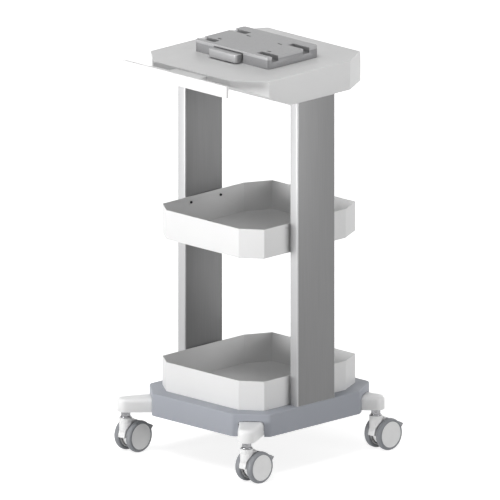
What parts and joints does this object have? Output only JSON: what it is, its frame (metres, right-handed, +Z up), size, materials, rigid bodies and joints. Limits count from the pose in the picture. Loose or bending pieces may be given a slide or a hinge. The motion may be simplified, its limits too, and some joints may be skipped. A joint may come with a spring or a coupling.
{
  "type": "medical equipment trolley",
  "caption": "Open trolley on braked twin-wheel casters: octagonal base, two sheet trays between two aluminium columns, sloped worktop, push bar and a device dock with a release latch.",
  "frame": {"origin": "on the floor, under the middle of the trolley's bounding box", "axes": "+Z up, -Y towards the push bar, +X to the right of someone facing +Y"},
  "size_m": [0.4472, 0.534, 0.971],
  "materials": {
    "base_grey": "fine texture",
    "black_steel": "powder coat",
    "arm_white": "satin",
    "zinc": "zinc plated",
    "zinc_dark": "blackened",
    "column_aluminium": "satin anodised",
    "tray_white": "powder coat",
    "black_plastic": "matte",
    "top_white": "fine texture",
    "dock_aluminium": "bead blasted",
    "latch_silver": "silver paint",
    "chrome_stem": "polished",
    "pedal_dark": "matte",
    "tyre_grey": "smooth",
    "hub_white": "satin"
  },
  "bodies": {
    "cart": {"base_cover": "base_grey", "chassis": "black_steel", "arm_front_left": "arm_white", "arm_front_right": "arm_white", "arm_rear_left": "arm_white", "arm_rear_right": "arm_white", "arm_bolts": "zinc", "column_left": "column_aluminium", "column_right": "column_aluminium", "column_screws": "zinc", "lower_tray": "tray_white", "tray_nuts": "zinc", "mid_tray": "tray_white", "mid_tray_spacers": "black_plastic", "mid_tray_screws": "zinc_dark", "worktop_cover": "top_white", "worktop_pan": "tray_white", "worktop_frame": "black_steel", "worktop_screws": "zinc", "push_bar": "tray_white", "push_bar_bracket": "tray_white", "push_bar_screws": "zinc", "dock_body": "dock_aluminium", "dock_plate": "dock_aluminium", "dock_screws": "zinc", "latch_springs": "zinc", "front_left_stem": "chrome_stem", "front_right_stem": "chrome_stem", "rear_left_stem": "chrome_stem", "rear_right_stem": "chrome_stem"},
    "latch": {"latch_slide": "zinc", "latch_grip": "latch_silver"},
    "front_left_swivel": {"front_left_housing": "arm_white", "front_left_axle": "zinc"},
    "front_left_pedal": {"front_left_pedal": "pedal_dark"},
    "front_left_wheel_left": {"front_left_tyre_left": "tyre_grey", "front_left_hub_left": "hub_white"},
    "front_left_wheel_right": {"front_left_tyre_right": "tyre_grey", "front_left_hub_right": "hub_white"},
    "front_right_swivel": {"front_right_housing": "arm_white", "front_right_axle": "zinc"},
    "front_right_pedal": {"front_right_pedal": "pedal_dark"},
    "front_right_wheel_left": {"front_right_tyre_left": "tyre_grey", "front_right_hub_left": "hub_white"},
    "front_right_wheel_right": {"front_right_tyre_right": "tyre_grey", "front_right_hub_right": "hub_white"},
    "rear_left_swivel": {"rear_left_housing": "arm_white", "rear_left_axle": "zinc"},
    "rear_left_pedal": {"rear_left_pedal": "pedal_dark"},
    "rear_left_wheel_left": {"rear_left_tyre_left": "tyre_grey", "rear_left_hub_left": "hub_white"},
    "rear_left_wheel_right": {"rear_left_tyre_right": "tyre_grey", "rear_left_hub_right": "hub_white"},
    "rear_right_swivel": {"rear_right_housing": "arm_white", "rear_right_axle": "zinc"},
    "rear_right_pedal": {"rear_right_pedal": "pedal_dark"},
    "rear_right_wheel_left": {"rear_right_tyre_left": "tyre_grey", "rear_right_hub_left": "hub_white"},
    "rear_right_wheel_right": {"rear_right_tyre_right": "tyre_grey", "rear_right_hub_right": "hub_white"}
  },
  "joints": [
    {"name": "latch_pull", "type": "slide", "parent": "cart", "child": "latch", "axis": [0, -1, 0], "range_m": [0, 0.01], "stiffness_N_per_m": 400, "deforming": ["latch_springs"]},
    {"name": "front_left_swivel_turn", "type": "hinge", "parent": "cart", "child": "front_left_swivel", "pos_m": [-0.1966, -0.228, 0.07], "axis": [0, 0, 1], "continuous": true},
    {"name": "front_left_pedal_press", "type": "hinge", "parent": "front_left_swivel", "child": "front_left_pedal", "pos_m": [-0.1966, -0.194, 0.062], "axis": [-1, 0, 0], "range_deg": [0, 10]},
    {"name": "front_left_wheel_left_roll", "type": "hinge", "parent": "front_left_swivel", "child": "front_left_wheel_left", "pos_m": [-0.1966, -0.204, 0.0375], "axis": [1, 0, 0], "continuous": true},
    {"name": "front_left_wheel_right_roll", "type": "hinge", "parent": "front_left_swivel", "child": "front_left_wheel_right", "pos_m": [-0.1966, -0.204, 0.0375], "axis": [1, 0, 0], "continuous": true},
    {"name": "front_right_swivel_turn", "type": "hinge", "parent": "cart", "child": "front_right_swivel", "pos_m": [0.1966, -0.228, 0.07], "axis": [0, 0, 1], "continuous": true},
    {"name": "front_right_pedal_press", "type": "hinge", "parent": "front_right_swivel", "child": "front_right_pedal", "pos_m": [0.1966, -0.194, 0.062], "axis": [-1, 0, 0], "range_deg": [0, 10]},
    {"name": "front_right_wheel_left_roll", "type": "hinge", "parent": "front_right_swivel", "child": "front_right_wheel_left", "pos_m": [0.1966, -0.204, 0.0375], "axis": [1, 0, 0], "continuous": true},
    {"name": "front_right_wheel_right_roll", "type": "hinge", "parent": "front_right_swivel", "child": "front_right_wheel_right", "pos_m": [0.1966, -0.204, 0.0375], "axis": [1, 0, 0], "continuous": true},
    {"name": "rear_left_swivel_turn", "type": "hinge", "parent": "cart", "child": "rear_left_swivel", "pos_m": [-0.1966, 0.192, 0.07], "axis": [0, 0, 1], "continuous": true},
    {"name": "rear_left_pedal_press", "type": "hinge", "parent": "rear_left_swivel", "child": "rear_left_pedal", "pos_m": [-0.1966, 0.226, 0.062], "axis": [-1, 0, 0], "range_deg": [0, 10]},
    {"name": "rear_left_wheel_left_roll", "type": "hinge", "parent": "rear_left_swivel", "child": "rear_left_wheel_left", "pos_m": [-0.1966, 0.216, 0.0375], "axis": [1, 0, 0], "continuous": true},
    {"name": "rear_left_wheel_right_roll", "type": "hinge", "parent": "rear_left_swivel", "child": "rear_left_wheel_right", "pos_m": [-0.1966, 0.216, 0.0375], "axis": [1, 0, 0], "continuous": true},
    {"name": "rear_right_swivel_turn", "type": "hinge", "parent": "cart", "child": "rear_right_swivel", "pos_m": [0.1966, 0.192, 0.07], "axis": [0, 0, 1], "continuous": true},
    {"name": "rear_right_pedal_press", "type": "hinge", "parent": "rear_right_swivel", "child": "rear_right_pedal", "pos_m": [0.1966, 0.226, 0.062], "axis": [-1, 0, 0], "range_deg": [0, 10]},
    {"name": "rear_right_wheel_left_roll", "type": "hinge", "parent": "rear_right_swivel", "child": "rear_right_wheel_left", "pos_m": [0.1966, 0.216, 0.0375], "axis": [1, 0, 0], "continuous": true},
    {"name": "rear_right_wheel_right_roll", "type": "hinge", "parent": "rear_right_swivel", "child": "rear_right_wheel_right", "pos_m": [0.1966, 0.216, 0.0375], "axis": [1, 0, 0], "continuous": true}
  ]
}
